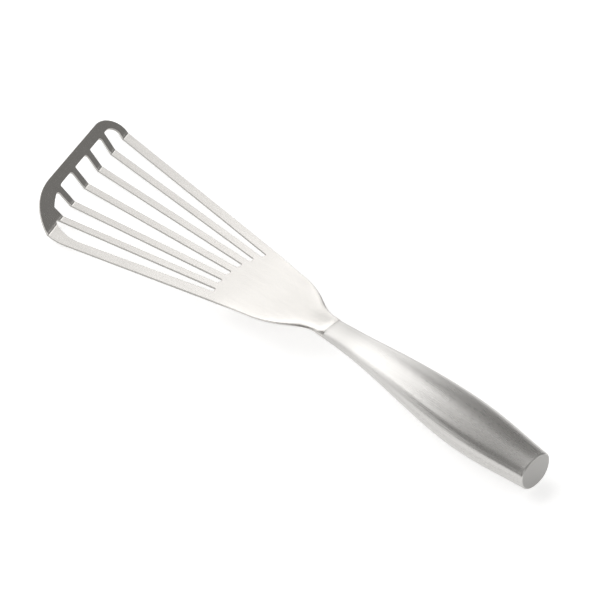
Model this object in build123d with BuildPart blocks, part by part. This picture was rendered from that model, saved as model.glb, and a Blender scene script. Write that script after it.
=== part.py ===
from build123d import *
import math
import os

# Fish spatula: a slotted sheet head with a turned-up lip, welded to a hollow two-shell handle.
# Working axes while modelling: X runs from the tip (-) to the handle's end (+), with zero at the
# slot roots, Y is across, and Z is the height above the table that the spatula lies on.
# The finished pieces are moved together at the end, so that the origin is the bottom centre.

os.makedirs("parts", exist_ok=True)

# Head sheet
sheet_thickness = 1.2
blade_rise = 4.74
root_height = 11.25
flat_reach = 8.0
flat_end_half_width = 22.0
far_edge_angle = 9.5
near_edge_angle = 10.5

# Lip
crease_distance = 105.0
crease_slant = 21.1
lip_length = 17.4
front_slant = 19.8
lip_angle = 33.0
bend_radius = 1.6
far_corner_radius = 10.4
near_corner_radius = 34.0

# Tines and slots
root_spread_share = 0.941
tine_root_shares = (1.02, 0.683, 0.37, 0.035, -0.304, -0.638, -0.98)
tine_angles = (9.4, 6.8, 3.4, -0.2, -4.2, -7.2, -11.1)
inner_tine_width = 3.5
outer_tine_width = 4.65
root_arc_radius = 38.0
root_arc_front = -0.5
root_corner_radius = 1.2
rim_width = 6.0
corner_reach = 0.01
sharp_corner_angle = 150.0
slot_far_corner_radius = 4.6
slot_near_corner_radius = 36.5
slot_corner_radius = 1.2

# Web, from the flat sheet to the neck joint
neck_joint = 64.1
web_length_shares = (0.0, 0.04, 0.09, 0.214, 0.428, 0.553, 0.678, 0.802, 0.891, 1.0)
web_rise_shares = (0.0, 0.0328, 0.0738, 0.173, 0.353, 0.475, 0.607, 0.756, 0.888, 1.0)
web_width_shares = (1.0, 0.975, 0.943, 0.855, 0.717, 0.577, 0.363, 0.132, 0.044, 0.0)
web_crown_shares = (0.0, 0.004, 0.022, 0.09, 0.156, 0.208, 0.313, 0.556, 0.78, 1.0)
web_tilt_shares = (1.0, 1.0, 1.0, 1.0, 0.98, 0.92, 0.75, 0.4, 0.12, 0.0)
crown_squareness_share = 0.66

# Handle, with its stations counted from the neck joint to the end
handle_length = 121.1
handle_half_width = 13.1
handle_depth = 18.9
handle_wall = 1.0
crown_share = 0.4
belly_squareness_share = 0.6
seam_height_neck = 14.7
seam_height_rear = 10.05
end_tilt = 5.8
handle_length_shares = (0.0, 0.05, 0.16, 0.306, 0.49, 0.673, 0.82, 0.93, 1.0)
handle_width_shares = (0.479, 0.499, 0.571, 0.724, 0.912, 1.0, 0.916, 0.791, 0.715)
handle_depth_shares = (0.381, 0.423, 0.514, 0.68, 0.89, 1.0, 0.95, 0.859, 0.816)
handle_seam_shares = (1.0, 1.049, 1.08, 1.006, 0.701, 0.351, 0.153, 0.047, 0.0)
handle_tilt_shares = (0.0, 0.0, 0.0, 0.0, 0.0, 0.0, 0.0, 0.35, 1.0)

# Welds, cap and neck block
weld_width = 0.8
cap_thickness = 1.4
cap_edge_radius = 0.9
spigot_length = 18.0
spigot_clearance = 0.1
block_clearance = 0.06
block_width_shares = (0.88, 1.0, 1.02, 1.0)
block_depth_shares = (0.11, 0.47, 0.8, 1.0)

overrun = 10.0

# Places worked out from the sizes above
blade_plane = Plane(
    origin=(0, 0, root_height),
    x_dir=(math.cos(math.radians(blade_rise)), 0, math.sin(math.radians(blade_rise))),
    z_dir=(-math.sin(math.radians(blade_rise)), 0, math.cos(math.radians(blade_rise))),
)
root_spread = flat_end_half_width * root_spread_share
slant = math.radians(crease_slant)
crease_direction = Vector(-math.sin(slant), math.cos(slant), 0)
tip_direction = Vector(-math.cos(slant), -math.sin(slant), 0)
crease_point = Vector(-crease_distance, 0, 0)
front_turn = math.radians(front_slant)
front_direction = Vector(-math.cos(front_turn), -math.sin(front_turn), 0)
front_point = crease_point - Vector(lip_length, 0, 0)
half_fold = math.radians(lip_angle) / 2
fold_plane = Plane(
    origin=crease_point,
    z_dir=tip_direction * math.cos(half_fold) + Vector(0, 0, 1) * math.sin(half_fold),
)


def edge_point(start, angle, distance):
    """A point at a distance toward the tip from start, along a line at an angle to the centre line."""
    turn = math.radians(angle)
    return (start[0] - distance * math.cos(turn), start[1] + distance * math.sin(turn))


def meet_front(start, angle, inset):
    """Where a line toward the tip meets the front edge, moved back by an inset."""
    turn = math.radians(angle)
    heading = Vector(-math.cos(turn), math.sin(turn), 0)
    gap = (front_point - Vector(*start, 0)).dot(front_direction) - inset
    return edge_point(start, angle, gap / heading.dot(front_direction))


def corner_opening(corner, edges):
    """The angle in degrees between the two edges that end at a corner: 180 where they run on smoothly."""
    leaving = []
    for edge in edges:
        for end, sign in ((0, 1), (1, -1)):
            if (edge.position_at(end) - corner.center()).length < corner_reach:
                leaving.append(edge.tangent_at(end) * sign)
    return leaving[0].get_angle(leaving[1])


# Flat pattern of the sheet, drawn before the lip is folded
far_start = (flat_reach, flat_end_half_width)
near_start = (flat_reach, -flat_end_half_width)
far_corner = meet_front(far_start, far_edge_angle, 0)
near_corner = meet_front(near_start, -near_edge_angle, 0)
far_field = (flat_reach, flat_end_half_width - outer_tine_width)
near_field = (flat_reach, -flat_end_half_width + outer_tine_width)

with BuildSketch() as blank:
    with BuildLine():
        Polyline(far_start, far_corner, near_corner, near_start, close=True)
    make_face()
    fillet(blank.vertices().sort_by(Axis.X)[0], far_corner_radius)
    fillet(blank.vertices().sort_by_distance(Vector(*near_corner, 0))[0], near_corner_radius)

# The field that the slots fill: a frame of even width stays around it
with BuildSketch() as slot_field:
    with BuildLine():
        Polyline(
            far_field,
            meet_front(far_field, far_edge_angle, rim_width),
            meet_front(near_field, -near_edge_angle, rim_width),
            near_field,
            close=True,
        )
    make_face()
    fillet(slot_field.vertices().sort_by(Axis.X)[0], slot_far_corner_radius)
    fillet(
        slot_field.vertices().sort_by_distance(Vector(*meet_front(near_field, -near_edge_angle, rim_width), 0))[0],
        slot_near_corner_radius,
    )

# One slot in each gap between neighbouring tines, its root on a shallow arc
with BuildSketch() as slots:
    for far_tine in range(len(tine_angles) - 1):
        near_tine = far_tine + 1
        side_starts = []
        for tine, side in ((far_tine, -1), (near_tine, 1)):
            is_outer = tine in (0, len(tine_angles) - 1)
            width = outer_tine_width if is_outer else inner_tine_width
            offset_across = side * width / 2 / math.cos(math.radians(tine_angles[tine]))
            side_starts.append((0, tine_root_shares[tine] * root_spread + offset_across))
        middle = (side_starts[0][1] + side_starts[1][1]) / 2
        root = root_arc_front + root_arc_radius - math.sqrt(root_arc_radius**2 - middle**2)
        with BuildLine():
            Polyline(
                edge_point(side_starts[0], tine_angles[far_tine], -root),
                meet_front(side_starts[0], tine_angles[far_tine], 0),
                meet_front(side_starts[1], tine_angles[near_tine], 0),
                edge_point(side_starts[1], tine_angles[near_tine], -root),
                close=True,
            )
        make_face()
    root_corners = slots.vertices().filter_by(lambda v: v.X > -crease_distance / 2)
    fillet(root_corners, root_corner_radius)
    add(slot_field.sketch, mode=Mode.INTERSECT)
    slot_edges = slots.edges()
    fillet(slots.vertices().filter_by(lambda v: corner_opening(v, slot_edges) < sharp_corner_angle), slot_corner_radius)

with BuildPart() as pattern:
    add(blank.sketch)
    extrude(amount=overrun, both=True)
    add(slots.sketch)
    extrude(amount=overrun, both=True, mode=Mode.SUBTRACT)

with BuildPart() as pattern_behind_fold:
    add(pattern.part)
    split(bisect_by=fold_plane, keep=Keep.BOTTOM)

with BuildPart() as pattern_past_fold:
    add(pattern.part.rotate(Axis(crease_point, crease_direction), lip_angle))
    split(bisect_by=fold_plane, keep=Keep.TOP)

with BuildPart() as folded_pattern:
    add(pattern_behind_fold.part)
    add(pattern_past_fold.part)

# The sheet bent along the crease, then trimmed by the folded pattern
sheet_middle = -sheet_thickness / 2
bend_middle = sheet_thickness / 2 * math.tan(half_fold)
lip_reach = lip_length + overrun
strip_reach = crease_distance * 2
with BuildPart() as flat_head:
    with BuildSketch(Plane(origin=crease_point, x_dir=tip_direction, z_dir=crease_direction)):
        with BuildLine():
            FilletPolyline(
                (-strip_reach, sheet_middle),
                (bend_middle, sheet_middle),
                (
                    bend_middle + lip_reach * math.cos(2 * half_fold),
                    sheet_middle + lip_reach * math.sin(2 * half_fold),
                ),
                radius=bend_radius + sheet_thickness / 2,
            )
        trace(line_width=sheet_thickness)
    extrude(amount=strip_reach, both=True)
    add(folded_pattern.part, mode=Mode.INTERSECT)

# Stations of the web: place of its top line, half-width, drop of the edge below the top, and tilt
neck_half_width = handle_half_width * handle_width_shares[0]
neck_crown = handle_depth * handle_depth_shares[0] * crown_share
neck_top_height = seam_height_neck + neck_crown
web_start = blade_plane.from_local_coords(Vector(flat_reach, 0, 0))
web_stations = []
for station, length_share in enumerate(web_length_shares):
    web_stations.append(
        {
            "x": web_start.X + length_share * (neck_joint - web_start.X),
            "z": web_start.Z + web_rise_shares[station] * (neck_top_height - web_start.Z),
            "width": neck_half_width + web_width_shares[station] * (flat_end_half_width - neck_half_width),
            "drop": neck_crown * web_crown_shares[station],
            "tilt": math.radians(blade_rise * web_tilt_shares[station]),
            "edge_turn": math.radians(90 * web_crown_shares[station]),
        }
    )


def cross_plane(x, z, tilt):
    """A plane across the spatula, facing the handle's end, with its own Y upwards."""
    return Plane(origin=(x, 0, z), x_dir=(0, 1, 0), z_dir=(math.cos(tilt), 0, math.sin(tilt)))


def underside_edge(station):
    """The sheet's lower edge corner: below the upper one where flat, beside it where turned down."""
    return (
        station["width"] - sheet_thickness * math.sin(station["edge_turn"]),
        -station["drop"] - sheet_thickness * math.cos(station["edge_turn"]),
    )


def crown_curves(half_width, top, edge, squareness):
    """Two curves over the middle, from the left edge to the right one, with upright ends."""
    shoulder = top + (edge - top) * (1 - squareness)
    Bezier((-half_width, edge), (-half_width, shoulder), (-half_width * squareness, top), (0, top))
    Bezier((0, top), (half_width * squareness, top), (half_width, shoulder), (half_width, edge))


# The web is formed from flat to arched, with its edges turned down into the neck
with BuildPart() as slotted_head:
    add(flat_head.part.moved(blade_plane.location))
    for station in web_stations:
        under_width, under_edge = underside_edge(station)
        with BuildSketch(cross_plane(station["x"], station["z"], station["tilt"])):
            with BuildLine():
                crown_curves(station["width"], 0, -station["drop"], crown_squareness_share)
                Line((station["width"], -station["drop"]), (under_width, under_edge))
                crown_curves(under_width, -sheet_thickness, under_edge, crown_squareness_share)
                Line((-station["width"], -station["drop"]), (-under_width, under_edge))
            make_face()
    loft()

# Everything above the web's underside, to trim the neck block
with BuildPart() as above_web:
    for station in web_stations[-len(block_depth_shares) - 1:]:
        under_width, under_edge = underside_edge(station)
        under_top = -sheet_thickness - block_clearance
        outside = station["width"] + overrun
        with BuildSketch(cross_plane(station["x"], station["z"], station["tilt"])):
            with BuildLine():
                crown_curves(under_width, under_top, under_edge - block_clearance, crown_squareness_share)
                Polyline(
                    (under_width, under_edge - block_clearance),
                    (outside, under_edge - block_clearance),
                    (outside, overrun),
                    (-outside, overrun),
                    (-outside, under_edge - block_clearance),
                    (-under_width, under_edge - block_clearance),
                )
            make_face()
    loft()

# Stations of the handle: seam place, half-width, crown above the seam and belly below it, and tilt
handle_stations = []
for station, length_share in enumerate(handle_length_shares):
    depth = handle_depth * handle_depth_shares[station]
    handle_stations.append(
        {
            "x": neck_joint + length_share * handle_length,
            "z": seam_height_rear + handle_seam_shares[station] * (seam_height_neck - seam_height_rear),
            "width": handle_half_width * handle_width_shares[station],
            "crown": depth * crown_share,
            "belly": depth * (1 - crown_share),
            "tilt": math.radians(end_tilt * handle_tilt_shares[station]),
        }
    )


def handle_section(station, inset):
    """A closed section with a flattish crown and a round belly, drawn on the station's plane."""
    with BuildSketch(cross_plane(station["x"], station["z"], station["tilt"])) as section:
        with BuildLine():
            crown_curves(station["width"] - inset, station["crown"] - inset, 0, crown_squareness_share)
            crown_curves(station["width"] - inset, inset - station["belly"], 0, belly_squareness_share)
        make_face()
    return section.sketch


neck_plane = Plane(origin=(neck_joint, 0, 0), z_dir=(1, 0, 0))
seam_cutter_half_width = handle_half_width + overrun
rear = handle_stations[-1]
end_plane = cross_plane(rear["x"], rear["z"], rear["tilt"])

with BuildPart() as handle_outside:
    for station in handle_stations:
        add(handle_section(station, 0))
    loft()
    fillet(handle_outside.faces().sort_by(Axis.X)[-1].edges(), cap_edge_radius)

with BuildPart() as handle_inside:
    for station in handle_stations:
        add(handle_section(station, handle_wall))
    loft()

with BuildPart() as handle_tube:
    add(handle_outside.part)
    add(handle_inside.part, mode=Mode.SUBTRACT)

# The end cap closes the handle, butted on the shells with a ground ring weld between
with BuildPart() as end_cap:
    add(handle_outside.part)
    split(bisect_by=end_plane.offset(-cap_thickness), keep=Keep.TOP)

with BuildPart() as cap_weld:
    add(handle_tube.part)
    split(bisect_by=end_plane.offset(-cap_thickness), keep=Keep.BOTTOM)
    split(bisect_by=end_plane.offset(-cap_thickness - weld_width), keep=Keep.TOP)

# The neck weld joins the sheet and the neck block to the two shells
with BuildPart() as neck_weld:
    add(handle_tube.part)
    split(bisect_by=neck_plane.offset(weld_width), keep=Keep.BOTTOM)

with BuildPart() as shell_pair:
    add(handle_tube.part)
    split(bisect_by=neck_plane.offset(weld_width), keep=Keep.TOP)
    split(bisect_by=end_plane.offset(-cap_thickness - weld_width), keep=Keep.BOTTOM)


def seam_side(offset, height):
    """The side of the seam line, moved by an offset, up or down to a height, drawn from the side."""
    with BuildSketch(Plane.XZ.offset(-seam_cutter_half_width)) as side:
        with BuildLine():
            first = (handle_stations[0]["x"], handle_stations[0]["z"] + offset)
            last = (handle_stations[-1]["x"], handle_stations[-1]["z"] + offset)
            Spline(*[(station["x"], station["z"] + offset) for station in handle_stations])
            Polyline(
                last,
                (last[0] + overrun, last[1]),
                (last[0] + overrun, height),
                (first[0] - overrun, height),
                (first[0] - overrun, first[1]),
                first,
            )
        make_face()
    return side.sketch


with BuildPart() as above_seam:
    extrude(seam_side(weld_width / 2, handle_depth + overrun), 2 * seam_cutter_half_width, dir=(0, -1, 0))

with BuildPart() as below_seam:
    extrude(seam_side(-weld_width / 2, -overrun), 2 * seam_cutter_half_width, dir=(0, -1, 0))

with BuildPart() as handle_upper_shell:
    add(shell_pair.part)
    add(above_seam.part, mode=Mode.INTERSECT)

with BuildPart() as handle_lower_shell:
    add(shell_pair.part)
    add(below_seam.part, mode=Mode.INTERSECT)

with BuildPart() as seam_welds:
    add(shell_pair.part)
    add(above_seam.part, mode=Mode.SUBTRACT)
    add(below_seam.part, mode=Mode.SUBTRACT)

with BuildPart() as seam_weld_left:
    add(seam_welds.part)
    split(bisect_by=Plane.XZ, keep=Keep.TOP)

with BuildPart() as seam_weld_right:
    add(seam_welds.part)
    split(bisect_by=Plane.XZ, keep=Keep.BOTTOM)

# The neck block fills the channel under the web and reaches into the handle as a spigot
with BuildPart() as spigot:
    for station in handle_stations:
        add(handle_section(station, handle_wall + spigot_clearance))
    loft()
    split(bisect_by=neck_plane.offset(spigot_length), keep=Keep.BOTTOM)

with BuildPart() as neck_block:
    for station, place in enumerate(web_stations[-len(block_depth_shares):]):
        neck_belly = handle_stations[0]["belly"]
        block_station = {
            "x": place["x"] + place["drop"] * math.sin(place["tilt"]),
            "z": place["z"] - place["drop"] * math.cos(place["tilt"]),
            "width": neck_half_width * block_width_shares[station],
            "crown": place["drop"],
            "belly": neck_belly * block_depth_shares[station],
            "tilt": place["tilt"],
        }
        add(handle_section(block_station, 0))
    loft()
    add(above_web.part, mode=Mode.SUBTRACT)
    add(slotted_head.part, mode=Mode.SUBTRACT)
    add(spigot.part)

pieces = {
    "slotted_head": slotted_head,
    "neck_block": neck_block,
    "neck_weld": neck_weld,
    "handle_upper_shell": handle_upper_shell,
    "handle_lower_shell": handle_lower_shell,
    "seam_weld_left": seam_weld_left,
    "seam_weld_right": seam_weld_right,
    "cap_weld": cap_weld,
    "end_cap": end_cap,
}
boxes = [piece.part.bounding_box() for piece in pieces.values()]
low_x, high_x = min(box.min.X for box in boxes), max(box.max.X for box in boxes)
low_y, high_y = min(box.min.Y for box in boxes), max(box.max.Y for box in boxes)
to_bottom_centre = Location((-(low_x + high_x) / 2, -(low_y + high_y) / 2, -min(box.min.Z for box in boxes)))
print("size", high_x - low_x, high_y - low_y, max(box.max.Z for box in boxes) - min(box.min.Z for box in boxes))
print("moved by", to_bottom_centre.position)

for name, piece in pieces.items():
    print(name, len(piece.part.solids()), piece.part.volume)
    piece.part.locate(to_bottom_centre)
    piece.part.label = name
    export_step(piece.part, f"parts/{name}.step")
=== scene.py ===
import math

import bpy
from mathutils import Matrix, Vector

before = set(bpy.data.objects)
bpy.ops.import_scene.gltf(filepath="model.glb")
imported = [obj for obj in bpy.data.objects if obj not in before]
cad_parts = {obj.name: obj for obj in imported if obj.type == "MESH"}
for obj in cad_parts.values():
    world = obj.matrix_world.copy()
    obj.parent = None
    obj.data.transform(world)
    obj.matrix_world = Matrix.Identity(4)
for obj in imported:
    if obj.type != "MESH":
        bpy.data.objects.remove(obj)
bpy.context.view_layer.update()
print("loaded", len(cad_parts), "steel pieces")


class Wire:  # one output of a shader tree, so that the maths below reads as plain arithmetic
    def __init__(self, tree, socket=None):
        self.tree = tree
        self.socket = socket

    def node(self, kind, settings=None, inputs=None, output=0):
        made = self.tree.nodes.new(kind)
        for name, value in (settings or {}).items():
            setattr(made, name, value)
        for name, value in (inputs or {}).items():
            if isinstance(value, Wire):
                self.tree.links.new(value.socket, made.inputs[name])
            else:
                made.inputs[name].default_value = value
        if made.outputs:
            return Wire(self.tree, made.outputs[output])

    def maths(self, operation, *values):
        return self.node("ShaderNodeMath", {"operation": operation}, dict(enumerate(values)))

    def vectorMaths(self, operation, one, other, output=0):
        return self.node("ShaderNodeVectorMath", {"operation": operation}, {0: one, 1: other}, output)

    def __add__(self, other):
        return self.maths("ADD", self, other)

    def __sub__(self, other):
        return self.maths("SUBTRACT", self, other)

    def __rsub__(self, other):
        return self.maths("SUBTRACT", other, self)

    def __mul__(self, other):
        return self.maths("MULTIPLY", self, other)

    __radd__ = __add__
    __rmul__ = __mul__


def grey(value):
    return (value, value, value, 1.0)


def newTree(name):
    material = bpy.data.materials.new(name)
    material.use_nodes = True
    material.node_tree.nodes.clear()
    return material, Wire(material.node_tree)


def finishTree(tree, shader):
    tree.node("ShaderNodeOutputMaterial", None, {"Surface": shader})


# Brushed steel: fine scratches along X, slower bands of grain, a slight waviness, smudges, lighter worn edges, rougher
# sheared slot edges, a rougher patch beside the neck where the weld was ground flush, and the cap's satin end face;
# painted shade darkens the slot edges, the neck patch and the end face
def brushedSteel(name, look):
    material, tree = newTree(name)
    place = tree.node("ShaderNodeTexCoord", output="Object")
    flat = tree.node("ShaderNodeNewGeometry", output="Normal")
    lengthwise = tree.node("ShaderNodeSeparateXYZ", None, {0: place}, "X")
    upward = tree.node("ShaderNodeSeparateXYZ", None, {0: flat}, "Z")

    def noise(spot, scale, detail, roughness):
        return tree.node("ShaderNodeTexNoise", None, {
            "Vector": spot, "Scale": scale, "Detail": detail, "Roughness": roughness})

    def grain(across, along, detail):  # noise that is drawn out along X
        stretched = tree.node("ShaderNodeMapping", None, {"Vector": place, "Scale": (along, across, across)})
        return noise(stretched, 1.0, detail, look["grainRoughness"])

    def swing(pattern):  # noise goes from 0 to 1, and this moves its middle to 0
        return pattern - 0.5

    def ramp(value, start, full):
        return tree.node("ShaderNodeMapRange", {"interpolation_type": "SMOOTHSTEP"}, {
            "Value": value, "From Min": start, "From Max": full})

    def blend(share, below, above):  # 6, 7 and 2 are the colour sockets of the Mix node
        return tree.node("ShaderNodeMix", {"data_type": "RGBA"}, {0: share, 6: below, 7: above}, 2)

    scratch = grain(look["scratchAcross"], look["scratchAlong"], look["scratchDetail"])
    band = grain(look["bandAcross"], look["bandAlong"], look["bandDetail"])
    smudge = noise(place, look["smudgeScale"], look["smudgeDetail"], look["smoothRoughness"])
    wave = noise(place, look["waveScale"], look["waveDetail"], look["smoothRoughness"])

    # Where the finish changes: 1 on a worn edge, a sheared slot edge or the ground patch, else 0 (the last two also get
    # painted shade)
    rounded = tree.node("ShaderNodeBevel", {"samples": look["wearSamples"]}, {"Radius": look["wearRadius"]})
    wear = ramp(1 - tree.vectorMaths("DOT_PRODUCT", rounded, flat, "Value"), look["wearStart"], look["wearFull"])
    shearAndShade = (ramp(1 - tree.maths("ABSOLUTE", upward), look["cutStart"], look["cutFull"]) * look["cutShare"]
           * (1 - ramp(lengthwise, look["cutFade"], look["cutTo"])))
    wandering = lengthwise + swing(smudge) * look["patchWander"]
    patch = (ramp(wandering, look["patchFrom"], look["patchFull"])
             * (1 - ramp(wandering, look["patchFade"], look["patchTo"])))

    colour = blend(band * look["bandShare"] + scratch * look["scratchShare"], look["dark"], look["light"])
    # Painted shade: a greyer patch by the neck, where the steel turns and reflects less light
    colour = blend(patch * look["patchShare"], colour, look["patchShadeTint"])
    colour = blend(wear * look["wearShare"], colour, look["bare"])
    # Painted shade: the sheared slot edges, rougher in their own right, are given a darker tint
    colour = blend(shearAndShade, colour, look["cutShadeTint"])
    if look["endShadeShare"]:  # painted shade: the satin end face, inside a rim of the handle's steel, is coloured darker
        level = tree.vectorMaths("DOT_PRODUCT", flat, look["endFaces"], "Value")
        colour = blend(ramp(level, look["endStart"], look["endFull"]) * look["endShadeShare"], colour, look["endShadeTint"])

    rough = (look["roughness"] + swing(band) * look["roughBand"] + swing(scratch) * look["roughScratch"]
             + swing(smudge) * look["roughSmudge"] + patch * look["patchRough"] + shearAndShade * look["cutRough"]
             - wear * look["wearPolish"])

    height = scratch * look["scratchDepth"] + band * look["bandDepth"] + wave * look["waveDepth"]
    if look["foldReach"]:  # the crease of the lip looks softer than its bend: a valley on top, a ridge below
        offset = tree.vectorMaths("SUBTRACT", place, look["foldPlace"])
        gap = tree.maths("ABSOLUTE", tree.vectorMaths("DOT_PRODUCT", offset, look["foldFaces"], "Value"))
        near = tree.maths("MAXIMUM", look["foldReach"] - gap, 0.0)
        side = tree.maths("SIGN", upward)
        height = height + near * near * side * (look["foldSlope"] / (2 * look["foldReach"]))

    bump = tree.node("ShaderNodeBump", None, {"Height": height, "Strength": 1.0, "Distance": 1.0, "Normal": rounded})
    finishTree(tree, tree.node("ShaderNodeBsdfPrincipled", None, {
        "Base Color": colour, "Roughness": rough, "Normal": bump, "Metallic": 1.0}))
    return material


# Radii, depths and places along X are in metres, and noise scales per metre. The Start and Full values of wear, cut and
# end are not lengths: they say how far a face has turned
bladeLook = {
    "dark": (0.57, 0.554, 0.533, 1.0), "light": (0.64, 0.624, 0.602, 1.0), "bare": (0.70, 0.692, 0.68, 1.0),
    "scratchAcross": 5200.0, "scratchAlong": 90.0, "scratchDetail": 1.0, "scratchShare": 0.2,
    "bandAcross": 420.0, "bandAlong": 8.0, "bandDetail": 2.0, "bandShare": 0.8, "grainRoughness": 0.6,
    "smudgeScale": 38.0, "smudgeDetail": 3.0, "waveScale": 32.0, "waveDetail": 1.0, "smoothRoughness": 0.5,
    "scratchDepth": 0.0000008, "bandDepth": 0.0000015, "waveDepth": 0.00012,
    "roughness": 0.26, "roughBand": 0.04, "roughScratch": 0.03, "roughSmudge": 0.05,
    "wearRadius": 0.00035, "wearSamples": 6, "wearStart": 0.03, "wearFull": 0.3,
    "wearShare": 0.5, "wearPolish": 0.05,
    "cutStart": 0.55, "cutFull": 0.85, "cutFade": -0.020, "cutTo": -0.005,  # fades out where the slots end
    # The sheared edges' dark tint is painted shade; their extra roughness is their own
    "cutShare": 0.8, "cutShadeTint": (0.40, 0.39, 0.375, 1.0), "cutRough": 0.20,
    "foldPlace": (-0.131868, -0.0026757, 0.0), "foldFaces": (-0.93296, -0.35999, 0.0),  # across the crease
    "foldReach": 0.0015, "foldSlope": 0.296,
    # The neck patch: rougher ground steel, with a greyer tint that is painted shade
    "patchFrom": 0.0355, "patchFull": 0.0385, "patchFade": 0.046, "patchTo": 0.060, "patchWander": 0.006,
    "patchShare": 0.45, "patchShadeTint": (0.54, 0.53, 0.515, 1.0), "patchRough": 0.07,
    "endShadeShare": 0.0,
}
handleLook = dict(
    bladeLook, dark=(0.54, 0.53, 0.515, 1.0), light=(0.63, 0.62, 0.605, 1.0), roughness=0.28, roughBand=0.03,
    bandAcross=900.0, bandAlong=14.0, waveDepth=0.00005, wearRadius=0.00012, cutShare=0.0, foldReach=0.0)
# The cap: its satin end face is coloured darker, as painted shade of the dim table that it reflects
capLook = dict(
    handleLook, roughness=0.30, endFaces=(0.99488, 0.0, 0.10106), endStart=0.90, endFull=0.99,
    endShadeShare=0.95, endShadeTint=(0.36, 0.354, 0.344, 1.0))
weldLook = dict(handleLook, roughness=0.33)

bladeSteel = brushedSteel("bladeSteel", bladeLook)
handleSteel = brushedSteel("handleSteel", handleLook)
capSteel = brushedSteel("capSteel", capLook)
weldSteel = brushedSteel("weldSteel", weldLook)

finishes = {
    "slotted_head": bladeSteel, "neck_block": bladeSteel, "neck_weld": weldSteel,
    "handle_upper_shell": handleSteel, "handle_lower_shell": handleSteel,
    "seam_weld_left": handleSteel, "seam_weld_right": handleSteel, "cap_weld": handleSteel, "end_cap": capSteel,
}
for node, finish in finishes.items():
    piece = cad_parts[node]
    piece.data.materials.clear()
    piece.data.materials.append(finish)
print("steel finishes on", len(finishes), "pieces")


# A pale table that shows white and keeps the soft shadow under the spatula, in a dim and slightly warm room
stage = {"size": 6.0, "colour": 0.86, "lift": 0.53}
room = {"colour": (1.0, 0.985, 0.96, 1.0), "strength": 0.235}

bpy.ops.mesh.primitive_plane_add(size=stage["size"], location=(0.0, 0.0, 0.0))
table = bpy.context.object
table.name = "table"
tableMaterial, tree = newTree("palePaper")
lit = tree.node("ShaderNodeBsdfDiffuse", None, {"Color": grey(stage["colour"])})
seen = (tree.node("ShaderNodeLightPath", output="Is Camera Ray")
        + tree.node("ShaderNodeLightPath", output="Is Glossy Ray")
        + tree.node("ShaderNodeLightPath", output="Is Transmission Ray"))
glow = tree.node("ShaderNodeEmission", None, {"Color": grey(1.0), "Strength": seen * stage["lift"]})
finishTree(tree, tree.node("ShaderNodeAddShader", None, {0: lit, 1: glow}))
table.data.materials.append(tableMaterial)

world = bpy.data.worlds.new("room")
bpy.context.scene.world = world
world.use_nodes = True
world.node_tree.nodes.clear()
roomTree = Wire(world.node_tree)
background = roomTree.node("ShaderNodeBackground", None, {"Color": room["colour"], "Strength": room["strength"]})
roomTree.node("ShaderNodeOutputWorld", None, {"Surface": background})
print("table and room set")


# Soft boxes in metres: four stand upright beyond the head as one pale wall and face along X, the rest face the spatula
softBoxes = {
    "lowWall": {"place": (-0.90, 0.30, 0.575), "width": 2.90, "tall": 1.15, "radiance": 0.80, "wall": True},
    "highWall": {"place": (-0.90, 0.15, 1.37), "width": 2.00, "tall": 1.20, "radiance": 1.72, "wall": True},
    "nearWall": {"place": (-0.88, -0.75, 0.60), "width": 0.80, "tall": 1.00, "radiance": 0.62, "wall": True},
    "farWall": {"place": (-0.88, 1.30, 0.68), "width": 0.80, "tall": 0.95, "radiance": 0.42, "wall": True},
    "farLow": {"place": (-0.42, 1.35, 0.24), "width": 0.95, "tall": 0.46, "radiance": 0.32, "wall": False},
    "sideBox": {"place": (-0.47, -1.05, 0.33), "width": 0.65, "tall": 0.75, "radiance": 0.46, "wall": False},
    "topBox": {"place": (-0.45, 0.12, 1.15), "width": 1.20, "tall": 0.90, "radiance": 0.27, "wall": False},
    "rearBox": {"place": (0.80, 0.62, 0.60), "width": 0.80, "tall": 0.60, "radiance": 0.90, "wall": False},
    "frontBox": {"place": (0.83, -0.75, 1.00), "width": 1.60, "tall": 1.00, "radiance": 0.60, "wall": False},
}
for name, box in softBoxes.items():
    lamp = bpy.data.lights.new(name, "AREA")
    lamp.shape = "RECTANGLE"
    lamp.size, lamp.size_y = box["width"], box["tall"]
    lamp.energy = box["radiance"] * math.pi * box["width"] * box["tall"]
    back = Vector((-1.0, 0.0, 0.0)) if box["wall"] else Vector(box["place"])  # a lamp shines away from its back
    lampObject = bpy.data.objects.new(name, lamp)
    lampObject.location = box["place"]
    lampObject.rotation_euler = back.to_track_quat("Z", "Y").to_euler()
    bpy.context.scene.collection.objects.link(lampObject)
print("lit by", len(softBoxes), "soft boxes")


# The camera stands where the photograph was taken from
view = {
    "place": (0.58899997, -0.57492465, 0.7777256),
    "right": (0.71757793, 0.69628871, -0.01624653),
    "down": (0.46745686, -0.49877945, -0.72986515),
    "ahead": (-0.5163003, 0.51614057, -0.68339806),
    "lens": 144.78, "sensor": 36.0,
}
right, down, ahead = (Vector(view[key]) for key in ("right", "down", "ahead"))
cameraData = bpy.data.cameras.new("camera")
cameraData.lens, cameraData.sensor_width = view["lens"], view["sensor"]
camera = bpy.data.objects.new("camera", cameraData)
camera.matrix_world = Matrix.Translation(view["place"]) @ Matrix((right, -down, -ahead)).transposed().to_4x4()
bpy.context.scene.collection.objects.link(camera)
bpy.context.scene.camera = camera
bpy.context.scene.view_settings.view_transform = "Standard"
print("camera set")
